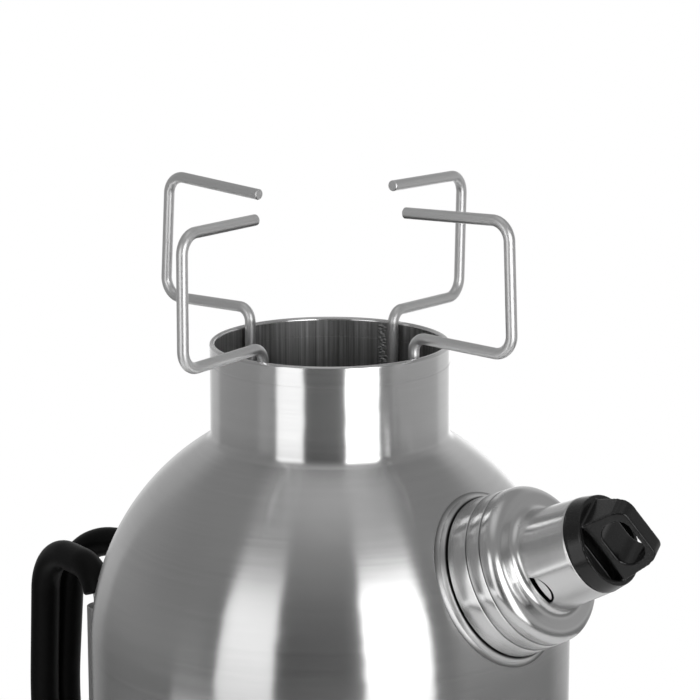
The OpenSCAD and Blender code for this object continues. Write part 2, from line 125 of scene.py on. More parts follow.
def spin(degrees: float, axis: str) -> Matrix:
    """A turn about a main axis, in degrees."""
    return Matrix.Rotation(math.radians(degrees), 4, axis)


def shift(x: float, y: float, z: float) -> Matrix:
    """A move by a distance in millimetres."""
    return Matrix.Translation((x, y, z))


def add_object(name: str, data: bpy.types.ID) -> Piece:
    """Links a new object into the scene, at the origin.

    Args:
        name: Name of the object.
        data: Its mesh, camera or lamp.

    Returns:
        The object.
    """
    piece = bpy.data.objects.new(name, data)
    bpy.context.scene.collection.objects.link(piece)
    return piece


def smooth(mesh: Mesh) -> None:
    """Shades a mesh smooth, with its sharp edges kept."""
    mesh.shade_smooth()
    mesh.set_sharp_from_angle(angle=SHARP_ANGLE)


def face_outwards(mesh: Mesh) -> None:
    """Turns a closed mesh round where its faces point inwards.

    Args:
        mesh: Mesh to change.
    """
    shape = bmesh.new()
    shape.from_mesh(mesh)
    if shape.calc_volume(signed=True) < 0:
        bmesh.ops.reverse_faces(shape, faces=shape.faces)
        shape.to_mesh(mesh)
    shape.free()


def freeze(piece: Piece) -> None:
    """Turns a piece and its modifiers into a plain mesh.

    Args:
        piece: Object to change.
    """
    bpy.context.view_layer.update()
    graph = bpy.context.evaluated_depsgraph_get()
    old = piece.data
    mesh = bpy.data.meshes.new_from_object(piece.evaluated_get(graph))
    piece.modifiers.clear()
    piece.data = mesh
    bpy.data.meshes.remove(old)
    mesh.name = piece.name
    face_outwards(mesh)
    smooth(mesh)


def cut_away(piece: Piece, cutter: Piece) -> None:
    """Cuts one solid out of another and removes the cutter.

    Args:
        piece: Solid that stays.
        cutter: Solid that is cut out of it.
    """
    cut = piece.modifiers.new("cut", "BOOLEAN")
    cut.operation = "DIFFERENCE"
    cut.solver = "EXACT"
    cut.object = cutter
    freeze(piece)
    bpy.data.objects.remove(cutter)


def turn_section(
    name: str,
    section: Sequence[Point],
    place: Matrix | None = None,
    segments: int = ROUND_SEGMENTS,
) -> Piece:
    """Turns a closed section about an axis.

    Args:
        name: Name of the piece.
        section: Points of the section as radius and height, in millimetres.
        place: Where the axis stands, in millimetres; upright at the origin if not given.
        segments: Number of steps round the axis.

    Returns:
        The solid, with a UV map whose first coordinate runs along the section in metres.
    """
    points = np.array(section, float)
    ahead = np.roll(points, -1, axis=0)
    if np.sum(points[:, 0] * ahead[:, 1] - ahead[:, 0] * points[:, 1]) < 0:
        points = points[::-1]
        ahead = np.roll(points, -1, axis=0)
    reach = np.concatenate([[0.0], np.cumsum(np.linalg.norm(ahead - points, axis=1))]) * MM
    angles = np.linspace(0, 2 * math.pi, segments, endpoint=False)
    spots: list[Triple] = []
    rows: list[list[int]] = []
    for r, t in points:
        ring = [(r * math.cos(a), r * math.sin(a), t) for a in angles]
        if r < TINY:
            ring = [(0.0, 0.0, t)]
        rows.append([len(spots) + j % len(ring) for j in range(segments)])
        spots += ring
    faces: list[tuple[int, ...]] = []
    chart: list[float] = []
    for i, row in enumerate(rows):
        above = rows[(i + 1) % len(rows)]
        if row[0] == row[1] and above[0] == above[1]:
            continue
        for j in range(segments):
            k = (j + 1) % segments
            corners = [
                (row[j], reach[i], j), (row[k], reach[i], j + 1),
                (above[k], reach[i + 1], j + 1), (above[j], reach[i + 1], j),
            ]
            if row[j] == row[k]:
                corners.pop(0)
            elif above[j] == above[k]:
                corners.pop()
            faces.append(tuple(c[0] for c in corners))
            for _, along, step in corners:
                chart.extend((along, step / segments))
    mesh = bpy.data.meshes.new(name)
    mesh.from_pydata(spots, [], faces)
    mesh.uv_layers.new(name=TURNED_UV).data.foreach_set("uv", chart)
    mesh.transform(Matrix.Scale(MM, 4) @ (place or Matrix.Identity(4)))
    smooth(mesh)
    return add_object(name, mesh)


def extrude_outline(name: str, outline: Sequence[Point], depth: float, place: Matrix) -> Piece:
    """Extrudes an outline of the YZ plane along X.

    Args:
        name: Name of the piece.
        outline: Points as Y and Z, in millimetres, counter-clockwise seen from +X.
        depth: Length along X, from X = 0.
        place: Where the piece goes, in millimetres.

    Returns:
        The closed solid.
    """
    count = len(outline)
    spots = [(x, y, z) for x in (0.0, depth) for y, z in outline]
    faces = [tuple(range(count))[::-1], tuple(range(count, 2 * count))]
    for i in range(count):
        k = (i + 1) % count
        faces.append((i, k, k + count, i + count))
    mesh = bpy.data.meshes.new(name)
    mesh.from_pydata(spots, [], faces)
    mesh.transform(Matrix.Scale(MM, 4) @ place)
    face_outwards(mesh)
    smooth(mesh)
    return add_object(name, mesh)


def half_moon(width: float, height: float, steps: int = 24) -> list[Point]:
    """Outline of a half-moon, its straight side on the first axis.

    Args:
        width: Length of the straight side.
        height: Height of the bow over it.
        steps: Number of steps along the bow.

    Returns:
        The points of the bow.
    """
    bow = ((width / 2) ** 2 + height**2) / (2 * height)
    half = math.degrees(math.asin(width / 2 / bow))
    return arc((0, height - bow), bow, 90 - half, 90 + half, steps)


def ring_section(inner: float, outer: float, low: float, high: float) -> list[Point]:
    """Square section of a disc or a tube."""
    return [(inner, low), (outer, low), (outer, high), (inner, high)]


def mark_points(mesh: Mesh, label: str, values: Sequence[float]) -> None:
    """Writes a number on each point of a mesh."""
    mesh.attributes.new(label, "FLOAT", "POINT").data.foreach_set("value", list(values))


def around(middle: float, share: float) -> Point:
    """A range that reaches a share below and above a value."""
    return middle * (1 - share), middle * (1 + share)


def dress(piece: Piece, material: Material) -> None:
    """Gives a piece one material."""
    piece.data.materials.clear()
    piece.data.materials.append(material)


def hand_over(piece: Piece, finish: Finish, body: str, *nodes: str) -> None:
    """Dresses a piece, makes it ride on a body and hides the nodes that it stands for.

    Args:
        piece: The finished shape.
        finish: Its surface, which also names its material slot.
        body: Body that it moves with.
        nodes: Solids that it replaces.
    """
    dress(piece, finish.material())
    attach(piece, body)
    if nodes:
        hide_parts(*nodes)
    LOG.info("%s rides on %s, %d faces", piece.name, body, len(piece.data.polygons))


class ShaderSheet:
    """Short ways to add and feed the nodes of a tree."""

    def __init__(self, tree: Tree) -> None:
        """Keeps the tree."""
        self.tree = tree

    def feed(self, node: Node, inputs: dict[str | int, object]) -> None:
        """Links or sets the inputs of a node.

        Args:
            node: Node to feed.
            inputs: Output to link, or value to set, under each input's name or number.
        """
        for key, value in inputs.items():
            if isinstance(value, Socket):
                self.tree.links.new(value, node.inputs[key])
            else:
                node.inputs[key].default_value = value

    def node(
        self, kind: str, inputs: dict[str | int, object] | None = None, **values: object
    ) -> Node:
        """Adds a node.

        Args:
            kind: Type of the node.
            inputs: What goes into its inputs.
            values: Its properties.

        Returns:
            The node.
        """
        made = self.tree.nodes.new(kind)
        for key, value in values.items():
            setattr(made, key, value)
        self.feed(made, inputs or {})
        return made

    def sockets(self, way: str, kinds: dict[str, str]) -> None:
        """Gives the tree its inputs or outputs, from the kind of each under its name."""
        for label, kind in kinds.items():
            self.tree.interface.new_socket(label, in_out=way, socket_type=f"NodeSocket{kind}")

    def spread(self, value: Socket, source: Point, target: Point) -> Socket:
        """Maps a value from one range to another."""
        ends = dict(zip(("From Min", "From Max", "To Min", "To Max"), (*source, *target)))
        return self.node("ShaderNodeMapRange", {"Value": value, **ends}).outputs["Result"]

    def math(self, kind: str, first: Socket, second: Socket, clamp: bool = False) -> Socket:
        """Joins two values by a sum or a product, kept between 0 and 1 if asked."""
        made = self.node("ShaderNodeMath", {0: first, 1: second}, operation=kind, use_clamp=clamp)
        return made.outputs[0]

    def parts(self, vector: Socket) -> bpy.types.NodeOutputs:
        """Splits a vector into X, Y and Z."""
        return self.node("ShaderNodeSeparateXYZ", {0: vector}).outputs

    def noise(self, kind: Noise, place: Socket, pitch: Triple) -> Socket:
        """Adds noise of about 0.3 to 0.7, with a pitch in millimetres along each axis."""
        inputs = {"Place": place, "Pitch": tuple(p * MM for p in pitch)}
        return self.node("ShaderNodeGroup", inputs, node_tree=kind.group()).outputs["Marks"]

    def bump(self, height: Socket, strength: float, deep: float) -> Node:
        """Adds a bump, its depth in millimetres."""
        inputs = {"Height": height, "Strength": strength, "Distance": deep * MM}
        return self.node("ShaderNodeBump", inputs)


class Noise(Enum):
    """Noise that finishes share: name of its group, octaves and weight of the finer ones."""

    WORKED = ("worked_marks", 5.0, 0.68)
    SOFT = ("soft_smears", 2.0, 0.5)
    MOULDED = ("moulded_grain", 2.0, 0.5)

    def group(self) -> Tree:
        """The noise as a shader group, drawn out by a pitch along each axis, made once.

        Returns:
            The group, with inputs Place and Pitch and the output Marks.
        """
        name, detail, rough = self.value
        found = bpy.data.node_groups.get(name)
        if found:
            return found
        tree = bpy.data.node_groups.new(name, "ShaderNodeTree")
        sheet = ShaderSheet(tree)
        sheet.sockets("INPUT", {"Place": "Vector", "Pitch": "Vector"})
        sheet.sockets("OUTPUT", {"Marks": "Float"})
        inlet = sheet.node("NodeGroupInput").outputs
        share = sheet.node(
            "ShaderNodeVectorMath", {0: inlet["Place"], 1: inlet["Pitch"]}, operation="DIVIDE"
        )
        noise = sheet.node("ShaderNodeTexNoise", {
            "Vector": share.outputs[0], "Scale": 1, "Detail": detail, "Roughness": rough,
        }, noise_dimensions="3D")
        sheet.node("NodeGroupOutput", {"Marks": noise.outputs["Fac"]})
        return tree


@dataclass(frozen=True)
class Finish:
    """A surface that becomes a material when it is first used."""

    name: str
    slot: str

    def material(self) -> Material:
        """The finish as a material, made once.

        Returns:
            The material.
        """
        found = bpy.data.materials.get(self.name)
        if found:
            return found
        material = bpy.data.materials.new(self.name)
        material.use_nodes = True
        tree = material.node_tree
        self.build(ShaderSheet(tree), tree.nodes["Principled BSDF"])
        return material

    def build(self, sheet: ShaderSheet, shader: Node) -> None:
        """Feeds the main shader, each kind of finish in its own way."""
        raise NotImplementedError


@dataclass(frozen=True)
class SteelFinish(Finish):
    """A stainless steel surface, with its marks and the way its highlights are drawn out."""

    grey: float
    roughness: float
    stretch: float = 0.0
    grain: Grain = Grain.PLAIN
    pitch: float = 1.2
    reach: float = 60.0
    contrast: float = 0.06
    uneven: float = 0.12
    relief: float = 0.05
    smear: float = 0.012
    smear_size: float = 38.0
    polish: float = 1.0
    polish_z: Point = (0.0, 1.0)
    wave: float = 0.0
    wave_pitch: Triple = (34.0, 34.0, 20.0)
    # painted shade: how far the shade mark darkens the grey
    painted_shade_depth: float = 0.0
    mark_deep: float = 0.1

    def build(self, sheet: ShaderSheet, shader: Node) -> None:
        """Feeds the main shader with marks, smears and soft dents.

        Args:
            sheet: Tree of the material.
            shader: Its main shader.
        """
        coords = sheet.node("ShaderNodeTexCoord").outputs["Object"]
        marks = self._marks(sheet, coords)
        smears = sheet.noise(Noise.SOFT, coords, (self.smear_size,) * 3)
        lines = sheet.spread(marks, MARK_RANGE, around(self.roughness, self.uneven))
        cloud = sheet.spread(smears, MARK_RANGE, (-self.smear, self.smear))
        bump = sheet.bump(marks, self.relief, self.mark_deep)
        if self.wave:
            dents = sheet.noise(Noise.SOFT, coords, self.wave_pitch)
            sheet.feed(bump, {"Normal": sheet.bump(dents, 1, self.wave).outputs["Normal"]})
        if self.grain is Grain.TURNED:
            tangent = sheet.node("ShaderNodeTangent", direction_type="UV_MAP", uv_map=TURNED_UV)
            sheet.feed(shader, {"Tangent": tangent.outputs["Tangent"]})
        sheet.feed(shader, {
            "Base Color": self._tone(sheet, coords, marks),
            "Metallic": 1, "Anisotropic": self.stretch,
            "Roughness": sheet.math("ADD", lines, cloud),
            "Normal": bump.outputs["Normal"],
        })

    def _tone(self, sheet: ShaderSheet, coords: Socket, marks: Socket) -> Socket:
        """Grey of the steel, paler in its polished zone and darker with painted shade where its
        points carry the shade mark.

        Args:
            sheet: Tree of the material.
            coords: Object coordinates.
            marks: The worked marks.

        Returns:
            The tone.
        """
        tone = sheet.spread(marks, MARK_RANGE, around(self.grey, self.contrast))
        if self.polish != 1:
            low, high = (z * MM for z in self.polish_z)
            shine = sheet.spread(sheet.parts(coords)["Z"], (low, high), (1, self.polish))
            tone = sheet.math("MULTIPLY", tone, shine)
        # painted shade: marked points are darkened to stand in for shade in gaps and grooves
        if self.painted_shade_depth:
            mark = sheet.node("ShaderNodeAttribute", attribute_name=SHADE_MARK)
            unshaded = sheet.spread(mark.outputs["Fac"], (0, 1), (1, 1 - self.painted_shade_depth))
            tone = sheet.math("MULTIPLY", tone, unshaded)
        return tone

    def _marks(self, sheet: ShaderSheet, coords: Socket) -> Socket:
        """The marks that the work has left, along the way it went.

        Args:
            sheet: Tree of the material.
            coords: Object coordinates.

        Returns:
            The marks, about 0.3 to 0.7.
        """
        place, pitch = coords, (self.pitch,) * 3
        if self.grain is Grain.STREAKED:
            pitch = (self.pitch, self.pitch, self.reach)
        elif self.grain is Grain.TURNED:
            pitch = (self.reach, self.reach, self.pitch)
            chart = sheet.node("ShaderNodeUVMap", uv_map=TURNED_UV)
            parts = sheet.parts(coords)
            place = sheet.node("ShaderNodeCombineXYZ", {
                "X": parts["X"], "Y": parts["Y"], "Z": sheet.parts(chart.outputs["UV"])["X"],
            }).outputs[0]
        return sheet.noise(Noise.WORKED, place, pitch)


@dataclass(frozen=True)
class MouldedFinish(Finish):
    """Rubber, silicone or plastic with a fine moulded grain."""

    colour: Triple
    roughness: float
    grain_size: float = 0.35
    relief: float = 0.25
    uneven: float = 0.06
    through: float = 0.0
    shine: float = 0.5
    grain_deep: float = 0.05
    glow_deep: float = 2.0

    def build(self, sheet: ShaderSheet, shader: Node) -> None:
        """Feeds the main shader with the moulded grain.

        Args:
            sheet: Tree of the material.
            shader: Its main shader.
        """
        coords = sheet.node("ShaderNodeTexCoord").outputs["Object"]
        grain = sheet.noise(Noise.MOULDED, coords, (self.grain_size,) * 3)
        gloss = (self.roughness - self.uneven, self.roughness + self.uneven)
        sheet.feed(shader, {
            "Base Color": (*self.colour, 1),
            "Subsurface Weight": self.through, "Subsurface Scale": self.glow_deep * MM,
            "Specular IOR Level": self.shine,
            "Roughness": sheet.spread(grain, MARK_RANGE, gloss),
            "Normal": sheet.bump(grain, self.relief, self.grain_deep).outputs["Normal"],
        })


SATIN = SteelFinish(
    "satin_turned", "satin_steel", 0.62, 0.23, 1.0, Grain.TURNED, contrast=0.03, uneven=0.06,
    relief=0.014, polish=1.3, polish_z=(254.0, 264.0), wave=0.3,
)
SATIN_PLAIN = SteelFinish(
    "satin_sheet", "satin_steel", 0.62, 0.3, pitch=0.4, contrast=0.03, relief=0.02
)
FLUE = SteelFinish(
    "flue_streaked", "flue_steel", 0.44, 0.4, 0.0, Grain.STREAKED, 1.0, 90.0, 0.42, 0.25
)
WELD = SteelFinish("weld_bead", "flue_steel", 0.36, 0.48, pitch=0.6)
# polished steel with painted shade in the cap's grooves
BRIGHT = SteelFinish(
    "bright_turned", "polished_steel", 0.72, 0.2, 0.8, Grain.TURNED, 0.8, 40.0, 0.02, 0.06, 0.01,
    painted_shade_depth=0.8,
)
# collar steel with painted shade on its flat top and its weld foot
COLLAR = SteelFinish(
    "collar_turned", "polished_steel", 0.62, 0.33, 0.8, Grain.TURNED, 0.8, 40.0, 0.02, 0.06, 0.01,
    painted_shade_depth=0.95,
)
# darker satin steel: painted shade standing in for the sleeves' shadow on the barrels
SHADED_BARREL = SteelFinish("barrel_tube", "satin_steel", 0.48, 0.36, pitch=0.4, contrast=0.03)
WIRE = SteelFinish(
    "drawn_wire", "wire_steel", 0.78, 0.4, pitch=0.5, contrast=0.03, uneven=0.05, relief=0.008
)
SILICONE = MouldedFinish("pale_silicone", "silicone", (0.75, 0.75, 0.73), 0.5, through=0.3)
RUBBER = MouldedFinish(
    "black_sleeve", "black_rubber", (0.002, 0.002, 0.002), 0.44, relief=0.12, shine=0.1
)
PLASTIC = MouldedFinish(
    "black_stopper", "black_plastic", (0.004, 0.004, 0.004), 0.22, relief=0.1, shine=0.5
)


class NodeSheet(ShaderSheet):
    """A geometry tree that works on a path, with named inputs."""

    def __init__(self, name: str, inputs: dict[str, str]) -> None:
        """Makes the tree and turns its path into a curve.

        Args:
            name: Name of the tree.
            inputs: Kind of each input after the path, under its name.
        """
        super().__init__(bpy.data.node_groups.new(name, "GeometryNodeTree"))
        self.sockets("INPUT", {"Path": "Geometry", **inputs})
        self.sockets("OUTPUT", {"Piece": "Geometry"})
        self.inlet = self.node("NodeGroupInput").outputs
        curve = self.node("GeometryNodeMeshToCurve", {"Mesh": self.inlet["Path"]})
        self.curve = curve.outputs["Curve"]

    def vary(self, label: str, low: Triple, high: Triple, seed: int) -> Socket:
        """One of the inputs times a random vector.

        Args:
            label: Name of the input.
            low: Least value of the vector.
            high: Greatest value of it.
            seed: Start of the random draws.

        Returns:
            The product.
        """
        chance = self.node(
            "FunctionNodeRandomValue", {"Min": low, "Max": high, "Seed": seed},
            data_type="FLOAT_VECTOR",
        )
        inputs = {0: self.inlet[label], 1: chance.outputs["Value"]}
        return self.node("ShaderNodeVectorMath", inputs, operation="MULTIPLY").outputs[0]

    def end(self, geometry: Socket) -> None:
        """Realizes the geometry and sends it out."""
        real = self.node("GeometryNodeRealizeInstances", {"Geometry": geometry})
        self.node("NodeGroupOutput", {"Piece": real.outputs["Geometry"]})

    def apply(self, piece: Piece, values: dict[str, object]) -> None:
        """Runs the tree on a piece and leaves a plain mesh.

        Args:
            piece: Object whose mesh is the path.
            values: Value of each named input.
        """
        modifier = piece.modifiers.new("shape", "NODES")
        modifier.node_group = self.tree
        for item in self.tree.interface.items_tree:
            if item.item_type == "SOCKET" and item.in_out == "INPUT" and item.name in values:
                modifier[item.identifier] = values[item.name]
        freeze(piece)


def rod_tree() -> NodeSheet:
    """Tree that turns a path with marked corners into a bent round rod.

    Returns:
        The tree, with the rod's radius, bend steps and sides as inputs.
    """
    sheet = NodeSheet("bent_rod", {"Rod Radius": "Float", "Bend Steps": "Int", "Sides": "Int"})
    bend, girth = (
        sheet.node("GeometryNodeInputNamedAttribute", {"Name": label}, data_type="FLOAT")
        for label in ("bend", "girth")
    )
    corners = sheet.node("GeometryNodeFilletCurve", {
        "Curve": sheet.curve, "Count": sheet.inlet["Bend Steps"],
        "Radius": bend.outputs["Attribute"],
    }, mode="POLY")
    ring = sheet.node("GeometryNodeCurvePrimitiveCircle", {
        "Resolution": sheet.inlet["Sides"], "Radius": sheet.inlet["Rod Radius"],
    }, mode="RADIUS")
    rod = sheet.node("GeometryNodeCurveToMesh", {
        "Curve": corners.outputs["Curve"], "Profile Curve": ring.outputs["Curve"],
        "Scale": girth.outputs["Attribute"], "Fill Caps": True,
    })
    sheet.end(rod.outputs["Mesh"])
    return sheet


def ripple_tree() -> NodeSheet:
    """Tree that lays overlapping weld ripples along a path.

    Returns:
        The tree, with the ripples' step, size and stray as inputs.
    """
    sheet = NodeSheet("weld_ripples", {
        "Ripple Step": "Float", "Ripple Size": "Vector", "Ripple Stray": "Vector",
    })
    spots = sheet.node("GeometryNodeResampleCurve", {
        "Curve": sheet.curve, "Length": sheet.inlet["Ripple Step"],
    }, mode="LENGTH")
    loose = sheet.node("GeometryNodeSetPosition", {
        "Geometry": spots.outputs["Curve"],
        "Offset": sheet.vary("Ripple Stray", *RIPPLE_STRAYS, STRAY_SEED),
    })
    ball = sheet.node("GeometryNodeMeshUVSphere", {"Segments": 10, "Rings": 6, "Radius": 1})
    ripples = sheet.node("GeometryNodeInstanceOnPoints", {
        "Points": loose.outputs["Geometry"], "Instance": ball.outputs["Mesh"],
        "Scale": sheet.vary("Ripple Size", *RIPPLE_SIZES, SIZE_SEED),
    })
    sheet.end(ripples.outputs["Instances"])
    return sheet


def path_object(
    name: str, spots: Sequence[Vector], marks: dict[str, Sequence[float]] | None = None
) -> Piece:
    """A chain of edges with number marks on its points.

    Args:
        name: Name of the object.
        spots: Points in metres.
        marks: Name and values of each mark.

    Returns:
        The object that a geometry tree runs on.
    """
    mesh = bpy.data.meshes.new(name)
    mesh.from_pydata([tuple(s) for s in spots], [(i, i + 1) for i in range(len(spots) - 1)], [])
    for label, values in (marks or {}).items():
        mark_points(mesh, label, values)
    return add_object(name, mesh)


@dataclass
class BentRod:
    """A round rod bent along points of an upright plane, in millimetres."""

    name: str
    points: list[Point]
    bends: list[float]
    radius: float
    place: Matrix
    edge: float = 0.3
    sides: int = 32
    bend_steps: int = 20

    def build(self, tree: NodeSheet) -> Piece:
        """Bends the rod.

        Args:
            tree: The rod tree.

        Returns:
            The rod as a plain mesh.
        """
        line = [Vector((x, 0, z)) for x, z in self.points]
        first = line[0] + (line[1] - line[0]).normalized() * self.edge
        last = line[-1] + (line[-2] - line[-1]).normalized() * self.edge
        spots = [line[0], first, *line[1:-1], last, line[-1]]
        bends = [0.0, 0.0, *(b * MM for b in self.bends), 0.0, 0.0]
        thin = 1 - self.edge / self.radius
        girth = [thin] + [1.0] * (len(spots) - 2) + [thin]
        path = [(self.place @ s) * MM for s in spots]
        piece = path_object(self.name, path, {"bend": bends, "girth": girth})
        tree.apply(piece, {
            "Rod Radius": self.radius * MM, "Bend Steps": self.bend_steps, "Sides": self.sides,
        })
        return piece


@dataclass
class FireBase:
    """Pressed bowl that the kettle stands on."""

    floor_r: float = 58.0
    corner_r: float = 8.0
    mouth_r: float = 76.25
    mouth_z: float = 57.8
    bead_c: float = 77.65
    bead_r: float = 2.2
    sheet: float = 0.8
    hole_d: float = 36.0
    hole_z: float = 30.0
    hole_reach: float = 120.0
    bead_gap: float = 6.0

    def section(self) -> list[Point]:
        """Half section of the bowl with its rolled rim.

        Returns:
            The points as radius and height.
        """
        run, rise = self.mouth_r - self.floor_r, self.mouth_z - self.corner_r
        flare = math.degrees(
            math.atan2(run, rise) - math.asin(self.corner_r / math.hypot(run, rise))
        )
        corner = (self.floor_r, self.corner_r)
        meet = math.degrees(math.acos((self.mouth_r - self.bead_c) / self.bead_r))
        bead = arc((self.bead_c, self.mouth_z), self.bead_r, meet - 360, 180 - self.bead_gap, 40)
        inner = arc(corner, self.corner_r - self.sheet, -flare, -90, 12)
        outer = arc(corner, self.corner_r, -90, -flare, 14)
        return [(0, 0), *outer, *bead, *inner, (0, self.sheet)]

    def build(self) -> None:
        """Turns the bowl and cuts its air hole."""
        bowl = turn_section("fire_bowl", self.section())
        hole = turn_section(
            "air_hole_cut", ring_section(0, self.hole_d / 2, 0, self.hole_reach),
            shift(0, 0, self.hole_z) @ spin(90, "X"), SMALL_SEGMENTS,
        )
        cut_away(bowl, hole)
        hand_over(bowl, SATIN, "base", "fire_base")


@dataclass
class KettleBody:
    """Body sheet with dome and neck, the flue inside it and their welds."""

    body_r: float = 81.24
    neck_r: float = 40.0
    fillet: float = 4.0
    sheet: float = 0.8
    skirt_z: float = 52.0
    dome_z: float = 185.0
    bend_z: float = 258.018
    sheet_top_z: float = 287.068
    rim_bead_r: float = 0.95
    rim_c: float = 39.175
    seam_z: float = 281.518
    seam_w: float = 0.6
    seam_deep: float = 0.2
    flue_seam_deep: float = 0.2 / 3
    spout_hole_r: float = 23.05
    spout_hole_at: Point = (40.0, 120.0)
    flue_foot_r: float = 68.0
    flue_top_r: float = 38.35
    ring_z: float = 60.3
    kink_z: float = 252.018
    weld_turn: float = 100.0
    weld_inset: float = 1.0
    weld_lift: float = 3.0
    weld_step: float = 0.3
    weld_size: Triple = (0.2, 0.8, 0.5)
    weld_stray: Triple = (0.0, 1.2, 0.3)

    @property
    def seam_span(self) -> Point:
        """Lower and upper edge of the neck's seam."""
        return self.seam_z - self.seam_w / 2, self.seam_z + self.seam_w / 2

    def wall(self, inset: float) -> list[Point]:
        """Profile of the body from the skirt to the neck's top.

        Args:
            inset: Distance from the outside.

        Returns:
            The points as radius and height.
        """
        bend = (self.neck_r + self.fillet, self.bend_z)
        touch = math.degrees(math.atan2(self.bend_z - self.dome_z, bend[0]))
        return [
            (self.body_r - inset, self.skirt_z),
            *arc((0, self.dome_z), self.body_r - inset, 0, touch, 72),
            *arc(bend, self.fillet + inset, touch + 180, 180, 14),
            (self.neck_r - inset, self.sheet_top_z),
        ]

    def build_sheet(self, spout: Matrix) -> None:
        """Turns the outer sheet with its neck seam and cuts the spout's hole.

        Args:
            spout: Frame of the spout.
        """
        outside = self.wall(0)
        low, high = self.seam_span
        deep = self.neck_r - self.seam_deep
        seam = [(self.neck_r, low), (deep, low), (deep, high), (self.neck_r, high)]
        section = [*outside[:-1], *seam, outside[-1], *reversed(self.wall(self.sheet))]
        sheet = turn_section("body_sheet", section)
        hole = ring_section(0, self.spout_hole_r, *self.spout_hole_at)
        cut_away(sheet, turn_section("spout_cut", hole, spout))
        hand_over(sheet, SATIN, "kettle", "outer_shell")

    def build_flue(self) -> None:
        """Turns the flue and lays its weld ripples."""
        top = self.flue_top_r + self.sheet
        low, high = self.seam_span
        groove = self.flue_top_r + self.flue_seam_deep
        flue = turn_section("chimney_tube", [
            (self.flue_foot_r, self.ring_z), (self.flue_foot_r + self.sheet, self.ring_z),
            (top, self.kink_z), (top, self.sheet_top_z), (self.flue_top_r, self.sheet_top_z),
            (self.flue_top_r, high), (groove, high), (groove, low), (self.flue_top_r, low),
            (self.flue_top_r, self.kink_z),
        ])
        hand_over(flue, FLUE, "kettle", "flue")
        line = [
            (self.flue_foot_r - self.weld_inset, self.ring_z + self.weld_lift),
            (self.flue_top_r, self.kink_z), (self.flue_top_r, self.sheet_top_z - self.weld_inset),
        ]
        seam = path_object("flue_weld", [Vector((r, 0, z)) * MM for r, z in line])
        ripple_tree().apply(seam, {
            "Ripple Step": self.weld_step * MM,
            "Ripple Size": tuple(s * MM for s in self.weld_size),
            "Ripple Stray": tuple(s * MM for s in self.weld_stray),
        })
        seam.data.transform(spin(self.weld_turn, "Z"))
        hand_over(seam, WELD, "kettle")

    def build_rim(self) -> None:
        """Turns the round weld bead on the chimney's edge."""
        bead = arc((self.rim_c, self.sheet_top_z), self.rim_bead_r, 0, 180, 20)
        rim = turn_section("rim_weld", bead)
        hand_over(rim, BRIGHT, "kettle", "chimney_rim")


